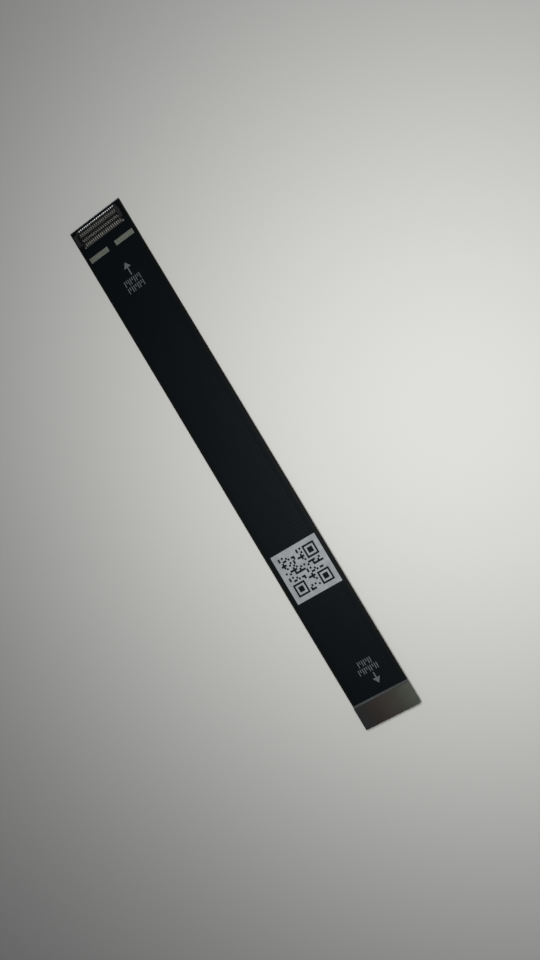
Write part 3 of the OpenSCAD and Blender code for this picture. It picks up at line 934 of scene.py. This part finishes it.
def joint_mesh(start, tail_end, rise, depth, side, up):
    """A joint from under a tail to its toe. It stands on the land, depth below the film's face."""
    stations = [(start, 0), (tail_end, 0)]
    stations += [(tail_end + solder_toe * t, t) for t in (0.12, 0.3, 0.5, 0.75, 1)]
    around = 8
    points = []
    faces = []
    for across, t in stations:
        height = (rise + depth) * (1 - t) ** 2 + toe_thickness
        half = land_width / 2 * (1 - toe_narrowing * t * t)
        for i in range(around):
            angle = math.pi * i / (around - 1)
            above_land = height * math.sin(angle) ** flank_power
            points.append((side * across, half * math.cos(angle), up * (above_land - depth)))
    for ring in range(len(stations) - 1):
        for i in range(around):
            a = ring * around + i
            b = ring * around + (i + 1) % around
            faces.append((a, b, b + around, a + around))
    faces.append(tuple(range(around)))
    faces.append(tuple(reversed(range(len(points) - around, len(points)))))
    mesh = mesh_of("joint", points, (), faces)
    shell = bmesh.new()
    shell.from_mesh(mesh)
    bmesh.ops.recalc_face_normals(shell, faces=shell.faces)
    shell.to_mesh(mesh)
    shell.free()
    return mesh


print("a joint is", land_width / MM, "mm wide and reaches", solder_toe / MM, "mm past its tail")

# %% Grow the joints
plug_joint_depth = 0.22 * MM
plug_joint_start = plug_tail_end - plug_joint_depth
connectors = {
    "receptacle": (receptacle_middle.x, receptacle_base, receptacle_half, receptacle_tail_end),
    "plug": (plug_middle.x, plug_base, plug_joint_start, plug_tail_end),
}
tail_of = {"receptacle": spring_thickness, "plug": blade_thickness}
up_of = {"receptacle": 1, "plug": -1}
for connector, (middle, base, start, tail_end) in connectors.items():
    for side, row in ((1, "inner"), (-1, "outer")):
        joints = grow(
            connector + "_" + row + "_joints",
            joint_tree,
            joint_mesh(start, tail_end, tail_of[connector], coverlay_thickness, side, up_of[connector]),
            {
                "Count": contacts_per_row,
                "Pitch": contact_pitch,
                "Unevenness": 0.12,
                "Seed": 7 + side,
                "Place": (middle, 0.0, base),
                # The inner rows take the darker solder copy, which is painted shade
                "Material": solder if row == "outer" else shaded_solder,
            },
        )
        seat(joints, "solder", connector + "_" + row + "_solder")

# %% [markdown]
# ## Test pads
# The pads are plated lands in a window of the coverlay. Their corners are round, because resist and etching
# can't hold a sharp one. The outline is a filleted rectangle, filled, raised and closed underneath.

# %% The tree of the pads
pad_tree, pad_in = new_tree(
    "pad_row",
    {
        "Length": "Float",
        "Width": "Float",
        "Corner": "Float",
        "Height": "Float",
        "Count": "Int",
        "Pitch": "Float",
        "Place": "Vector",
        "Material": "Material",
    },
)


def raised(tree, flat, height):
    """A flat sheet raised by a height and closed underneath. Also says which faces are on top."""
    move = add_node(tree, "ShaderNodeCombineXYZ", {"Z": height})
    lifted = add_node(
        tree,
        "GeometryNodeExtrudeMesh",
        {"Mesh": flat, "Offset": move.outputs[0], "Offset Scale": 1.0, "Individual": False},
        mode="FACES",
    )
    return lifted.outputs["Mesh"], lifted.outputs["Top"]


def closed(tree, shell, flat):
    """Joins a raised sheet with its own underside."""
    under = add_node(tree, "GeometryNodeFlipFaces", {"Mesh": flat})
    both = add_node(tree, "GeometryNodeJoinGeometry")
    tree.links.new(under.outputs[0], both.inputs[0])
    tree.links.new(shell, both.inputs[0])
    welded = add_node(
        tree,
        "GeometryNodeMergeByDistance",
        {"Geometry": both.outputs[0], "Distance": WELD},
    )
    return welded.outputs[0]


outline = add_node(
    pad_tree,
    "GeometryNodeCurvePrimitiveQuadrilateral",
    {"Width": pad_in["Length"], "Height": pad_in["Width"]},
)
eased = add_node(
    pad_tree,
    "GeometryNodeFilletCurve",
    {"Curve": outline.outputs[0], "Count": 4, "Radius": pad_in["Corner"], "Limit Radius": True},
    mode="POLY",
)
land = add_node(pad_tree, "GeometryNodeFillCurve", {"Curve": eased.outputs[0]}, mode="NGONS")
plating, _ = raised(pad_tree, land.outputs[0], pad_in["Height"])
pad = closed(pad_tree, plating, land.outputs[0])
finish_tree(pad_tree, repeat_in_row(pad_tree, pad_in, pad), pad_in["Material"])

print(pad_tree.name, "has", len(pad_tree.nodes), "nodes")

# %% Grow the pads
pads_per_group = 10
pad_width = 0.34 * MM
for group in ("left", "right"):
    low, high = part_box(group + "_test_pads")
    middle = centre_of(group + "_test_pads")
    pads = grow(
        group + "_plated_pads",
        pad_tree,
        mesh_of("empty", []),
        {
            "Length": high.x - low.x,
            "Width": pad_width,
            "Corner": 0.07 * MM,
            "Height": high.z - low.z,
            "Count": pads_per_group,
            "Pitch": contact_pitch,
            "Place": (middle.x, middle.y, low.z),
            "Material": pad_gold,
        },
    )
    seat(pads, "plated_gold", group + "_test_pads")

# %% [markdown]
# ## Coverlays
# The black films are laminated over etched copper under heat, so they sink between the traces and every
# trace shows as a low ridge. A bump in the material would do for a picture, but the ridges are real relief.
# The tree lays a grid, raises it over each trace, cuts the windows for solder and pads while it is flat, and
# then lifts it along the rise from the low end to the high end.

# %% Windows of the two coverlays
WINDOW_TALL = 1 * MM
corner_radius = 0.45 * MM


def prism(outline):
    """Points and faces of an upright prism through the flat film."""
    count = len(outline)
    points = [(x, y, z) for z in (-WINDOW_TALL, WINDOW_TALL) for x, y in outline]
    faces = [tuple(reversed(range(count))), tuple(range(count, 2 * count))]
    faces += [(i, (i + 1) % count, (i + 1) % count + count, i + count) for i in range(count)]
    return points, faces


def windows_mesh(name, outlines):
    """All windows of a film as one mesh of prisms."""
    points = []
    faces = []
    for outline in outlines:
        more, sides = prism(outline)
        faces += [tuple(i + len(points) for i in side) for side in sides]
        points += more
    return mesh_of(name, points, (), faces)


def rectangle(x0, x1, y0, y1):
    """Corners of a rectangle, counter-clockwise, so that its prism faces outwards."""
    return [(x0, y0), (x1, y0), (x1, y1), (x0, y1)]


def rectangle_round(node, margin_x, margin_y):
    """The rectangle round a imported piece, seen from above."""
    low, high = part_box(node)
    return rectangle(low.x - margin_x, high.x + margin_x, low.y - margin_y, high.y + margin_y)


def tail_windows(middle, start, end, half):
    """The two windows that a connector's tails are soldered in."""
    return [
        rectangle(middle + start, middle + end, -half, half),
        rectangle(middle - end, middle - start, -half, half),
    ]


def quarter_turn(steps):
    """Angles from 0 to 90 degrees in equal steps."""
    return [math.radians(90 * i / steps) for i in range(steps + 1)]


print("a window's prism reaches", WINDOW_TALL / MM, "mm above and below the film")

# %% Place the windows and round the corner
past_film = 1 * MM
corner_x = flex_length / 2 - corner_radius
corner_y = flex_width / 2 - corner_radius
outside_x = flex_length / 2 + past_film
outside_y = flex_width / 2 + past_film
corner_outline = [
    (corner_x + corner_radius * math.sin(a), corner_y + corner_radius * math.cos(a)) for a in quarter_turn(8)
]
corner_outline += [(outside_x, corner_y), (outside_x, outside_y), (corner_x, outside_y)]

under_housing = 0.04 * MM
plug_window_depth = 0.24 * MM
pad_margin = 0.03 * MM
past_tail = 0.25 * MM
past_row = 0.05 * MM
anchor_low, anchor_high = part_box("receptacle_left_anchor_solder")
anchor_reach = max(abs(anchor_low.y), abs(anchor_high.y))
top_windows = tail_windows(
    receptacle_middle.x,
    receptacle_half - under_housing,
    receptacle_tail_end + past_tail,
    anchor_reach + past_row,
)
bottom_windows = tail_windows(
    plug_middle.x,
    plug_tail_end - plug_window_depth,
    plug_tail_end + past_tail,
    row_half + contact_width / 2 + past_row,
)
for end in ("left", "right"):
    top_windows.append(rectangle_round(end + "_test_pads", 0, pad_margin))
    anchor = "plug_" + end + "_anchor_solder"
    bottom_windows.append(rectangle_round(anchor, margin_x=0.04 * MM, margin_y=0.02 * MM))
print("windows:", len(top_windows), "on top,", len(bottom_windows), "underneath")

# %% The tree of the embossed film
film_tree, film_in = new_tree(
    "embossed_film",
    {
        "Length": "Float",
        "Width": "Float",
        "Thickness": "Float",
        "Relief": "Float",
        "Trace Half": "Float",
        "Trace Pitch": "Float",
        "Field Half": "Float",
        "Strip Inner": "Float",
        "Strip Outer": "Float",
        "Slope": "Float",
        "Rise Start": "Float",
        "Rise End": "Float",
        "Low": "Float",
        "High": "Float",
        "Faces Down": "Bool",
        "Material": "Material",
    },
)


def falling(tree, value, edge, slope):
    """1 below an edge and 0 above it, with a smooth slope between."""
    before = add_node(tree, "ShaderNodeMath", {0: edge, 1: slope}, operation="SUBTRACT")
    after = add_node(tree, "ShaderNodeMath", {0: edge, 1: slope}, operation="ADD")
    step = add_node(
        tree,
        "ShaderNodeMapRange",
        {
            "Value": value,
            "From Min": before.outputs[0],
            "From Max": after.outputs[0],
            "To Min": 1.0,
            "To Max": 0.0,
        },
        interpolation_type="SMOOTHSTEP",
    )
    return step.outputs[0]


print(film_tree.name, "has inputs for", [socket.name for socket in film_in if socket.name])

# %% Lay the sheet and raise its ridges
# Grid lines stand 0.05 mm apart across the film, where the ridges are, and wide apart along it
LINES_ALONG = 61
LINES_ACROSS = 221
grid = add_node(
    film_tree,
    "GeometryNodeMeshGrid",
    {
        "Size X": film_in["Length"],
        "Size Y": film_in["Width"],
        "Vertices X": LINES_ALONG,
        "Vertices Y": LINES_ACROSS,
    },
)
flat_height = add_node(
    film_tree,
    "ShaderNodeMath",
    {0: film_in["Thickness"], 1: film_in["Relief"]},
    operation="SUBTRACT",
)
film_shell, film_face = raised(film_tree, grid.outputs[0], flat_height.outputs[0])
spot = add_node(film_tree, "GeometryNodeInputPosition")
spot_parts = add_node(film_tree, "ShaderNodeSeparateXYZ", {0: spot.outputs[0]})
half_pitch = add_node(film_tree, "ShaderNodeMath", {0: film_in["Trace Pitch"], 1: 0.5}, operation="MULTIPLY")
shifted = add_node(
    film_tree,
    "ShaderNodeMath",
    {0: spot_parts.outputs["Y"], 1: half_pitch.outputs[0]},
    operation="ADD",
)
to_trace = add_node(
    film_tree,
    "ShaderNodeMath",
    {0: shifted.outputs[0], 1: half_pitch.outputs[0]},
    operation="PINGPONG",
)
to_middle = add_node(film_tree, "ShaderNodeMath", {0: spot_parts.outputs["Y"]}, operation="ABSOLUTE")
on_trace = falling(film_tree, to_trace.outputs[0], film_in["Trace Half"], film_in["Slope"])
in_field = falling(film_tree, to_middle.outputs[0], film_in["Field Half"], film_in["Slope"])
in_strip = falling(film_tree, to_middle.outputs[0], film_in["Strip Outer"], film_in["Slope"])
out_strip = falling(film_tree, to_middle.outputs[0], film_in["Strip Inner"], film_in["Slope"])
strip_only = add_node(film_tree, "ShaderNodeMath", {0: in_strip, 1: out_strip}, operation="SUBTRACT")
ridges = add_node(film_tree, "ShaderNodeMath", {0: on_trace, 1: in_field}, operation="MULTIPLY")
copper_below = add_node(
    film_tree,
    "ShaderNodeMath",
    {0: ridges.outputs[0], 1: strip_only.outputs[0]},
    operation="MAXIMUM",
)
lift = add_node(
    film_tree,
    "ShaderNodeMath",
    {0: copper_below.outputs[0], 1: film_in["Relief"]},
    operation="MULTIPLY",
)
lift_up = add_node(film_tree, "ShaderNodeCombineXYZ", {"Z": lift.outputs[0]})
embossed = add_node(
    film_tree,
    "GeometryNodeSetPosition",
    {"Geometry": film_shell, "Selection": film_face, "Offset": lift_up.outputs[0]},
)
whole_film = closed(film_tree, embossed.outputs[0], grid.outputs[0])
print("the ridges take", len(film_tree.nodes), "nodes")

# %% Cut the windows and lift the film
# The exact solver is slower, but the quick one shifts points of so thin a sheet
cut = add_node(
    film_tree,
    "GeometryNodeMeshBoolean",
    {"Mesh 1": whole_film},
    operation="DIFFERENCE",
    solver="EXACT",
)
film_tree.links.new(film_in["Geometry"], cut.inputs["Mesh 2"])
turned = add_node(
    film_tree,
    "GeometryNodeTransform",
    {"Geometry": cut.outputs["Mesh"], "Scale": (1, 1, -1)},
)
turned_out = add_node(film_tree, "GeometryNodeFlipFaces", {"Mesh": turned.outputs[0]})
facing = add_node(
    film_tree,
    "GeometryNodeSwitch",
    {"Switch": film_in["Faces Down"], "False": cut.outputs["Mesh"], "True": turned_out.outputs[0]},
    input_type="GEOMETRY",
)
level = add_node(
    film_tree,
    "ShaderNodeMapRange",
    {
        "Value": spot_parts.outputs["X"],
        "From Min": film_in["Rise Start"],
        "From Max": film_in["Rise End"],
        "To Min": film_in["Low"],
        "To Max": film_in["High"],
    },
    interpolation_type="SMOOTHSTEP",
)
level_up = add_node(film_tree, "ShaderNodeCombineXYZ", {"Z": level.outputs[0]})
laid = add_node(
    film_tree,
    "GeometryNodeSetPosition",
    {"Geometry": facing.outputs[0], "Offset": level_up.outputs[0]},
)
finish_tree(film_tree, laid.outputs[0], film_in["Material"])
print(film_tree.name, "has", len(film_tree.nodes), "nodes")

# %% Grow the two coverlays
# A broad ground strip of copper runs outside the traces, on each side
ground_gap = 0.3 * MM
ground_inner = row_half + ground_gap
ground_outer = flex_width / 2 - bare_margin
film_sizes = {
    "Length": flex_length,
    "Width": flex_width,
    "Thickness": coverlay_thickness,
    "Relief": 0.008 * MM,
    "Trace Half": 0.1 * MM,
    "Trace Pitch": contact_pitch,
    "Field Half": row_half + contact_pitch / 2,
    "Strip Inner": ground_inner,
    "Strip Outer": ground_outer,
    "Slope": 0.04 * MM,
    "Rise Start": rise_start,
    "Rise End": rise_end,
    "Material": coverlay,
}
upper = flex_thickness - coverlay_thickness
for name, outlines, offset, faces_down in (
    ("top", top_windows, upper, False),
    ("bottom", bottom_windows, coverlay_thickness, True),
):
    film = grow(
        name + "_embossed_film",
        film_tree,
        windows_mesh("windows", outlines + [corner_outline]),
        {**film_sizes, "Low": film_low + offset, "High": film_high + offset, "Faces Down": faces_down},
    )
    seat(film, "black_coverlay", name + "_coverlay")

# %% [markdown]
# ## Pressed-out adhesive
# Heat and pressure squeeze the sheet adhesive out from under the plug's plate. It stands against the edge as
# an uneven fillet. The tree sweeps a hollow section along the edge, with a noise for its size.

# %% The tree of the bead
bead_tree, bead_in = new_tree(
    "glue_bead",
    {"Length": "Float", "Unevenness": "Float", "Lump": "Float", "Place": "Vector", "Material": "Material"},
)
BEAD_STATIONS = 160
bead_half = add_node(bead_tree, "ShaderNodeMath", {0: bead_in["Length"], 1: 0.5}, operation="MULTIPLY")
bead_back = add_node(bead_tree, "ShaderNodeMath", {0: bead_in["Length"], 1: -0.5}, operation="MULTIPLY")
bead_from = add_node(bead_tree, "ShaderNodeCombineXYZ", {"Y": bead_back.outputs[0]})
bead_to = add_node(bead_tree, "ShaderNodeCombineXYZ", {"Y": bead_half.outputs[0]})
edge_line = add_node(
    bead_tree,
    "GeometryNodeCurvePrimitiveLine",
    {"Start": bead_from.outputs[0], "End": bead_to.outputs[0]},
)
edge_points = add_node(
    bead_tree,
    "GeometryNodeResampleCurve",
    {"Curve": edge_line.outputs[0], "Count": BEAD_STATIONS},
)
frequency = add_node(bead_tree, "ShaderNodeMath", {0: 1.0, 1: bead_in["Lump"]}, operation="DIVIDE")
lumps = add_node(
    bead_tree,
    "ShaderNodeTexNoise",
    {"Scale": frequency.outputs[0], "Detail": 2.0, "W": 3.0},
    noise_dimensions="4D",
)
least_size = add_node(bead_tree, "ShaderNodeMath", {0: 1.0, 1: bead_in["Unevenness"]}, operation="SUBTRACT")
size = add_node(
    bead_tree,
    "ShaderNodeMapRange",
    {
        "Value": lumps.outputs[0],
        "From Min": 0.3,
        "From Max": 0.7,
        "To Min": least_size.outputs[0],
        "To Max": 1.0,
    },
)
bead_section = add_node(bead_tree, "GeometryNodeMeshToCurve", {0: bead_in["Geometry"]})
bead = add_node(
    bead_tree,
    "GeometryNodeCurveToMesh",
    {
        "Curve": edge_points.outputs[0],
        "Profile Curve": bead_section.outputs[0],
        "Scale": size.outputs[0],
        "Fill Caps": True,
    },
)
bead_placed = add_node(
    bead_tree,
    "GeometryNodeTransform",
    {"Geometry": bead.outputs[0], "Translation": bead_in["Place"]},
)
finish_tree(bead_tree, bead_placed.outputs[0], bead_in["Material"])

print(bead_tree.name, "has", len(bead_tree.nodes), "nodes")

# %% Grow the bead
plate_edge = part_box("plug_plate")[0].x
film_face_high = film_high + flex_thickness
bead_width = 0.34 * MM
bead_height = 0.17 * MM
bead_lip = 0.004 * MM
bead_set_in = 0.05 * MM
bead_points = [(0, 0, 0)]
for angle in quarter_turn(6):
    out = bead_width * (1 - math.sin(angle))
    high = bead_height * (1 - math.cos(angle)) + bead_lip
    bead_points.append((-out, -high, 0))
bead_loop = [(i, (i + 1) % len(bead_points)) for i in range(len(bead_points))]
bead_piece = grow(
    "plug_glue_bead",
    bead_tree,
    mesh_of("bead_section", bead_points, bead_loop),
    {
        "Length": flex_width - 2 * bead_set_in,
        "Unevenness": 0.45,
        "Lump": 0.5 * MM,
        "Place": (plate_edge, 0.0, film_face_high),
        "Material": glue,
    },
)
seat(bead_piece, "bonding_film")

# %% [markdown]
# ## Softened edges
# Mouldings leave the tool with small radii, and sheet edges are broken after blanking. A merged copy of the
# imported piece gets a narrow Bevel, which catches the light where a sharp edge can't.

# %% Bevel the housings and hold-downs


def softened(node, width, material, slot):
    """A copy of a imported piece, with its edges bevelled."""
    copy = frame["nodes"][node].data.copy()
    shell = bmesh.new()
    shell.from_mesh(copy)
    bmesh.ops.remove_doubles(shell, verts=shell.verts, dist=WELD)
    bmesh.ops.dissolve_limit(shell, angle_limit=math.radians(1), verts=shell.verts, edges=shell.edges)
    shell.to_mesh(copy)
    shell.free()
    copy.materials.clear()
    copy.materials.append(material)
    piece = bpy.data.objects.new(node + "_soft", copy)
    bpy.context.scene.collection.objects.link(piece)
    bevel = piece.modifiers.new("edges", "BEVEL")
    bevel.width = width
    bevel.segments = 2
    bevel.limit_method = "ANGLE"
    bevel.angle_limit = math.radians(40)
    shape = bpy.data.meshes.new_from_object(piece.evaluated_get(bpy.context.evaluated_depsgraph_get()))
    piece.modifiers.remove(bevel)
    piece.data = shape
    seat(piece, slot, node)


mould_radius = 0.012 * MM
sheet_edges = {"receptacle": 0.02 * MM, "plug": 0.015 * MM}
for connector in sheet_edges:
    softened(connector + "_housing", mould_radius, moulding, "connector_moulding")
for end in ("left", "right"):
    for connector, sheet_edge in sheet_edges.items():
        softened(connector + "_" + end + "_hold_down", sheet_edge, tin_plate, "hold_down_metal")
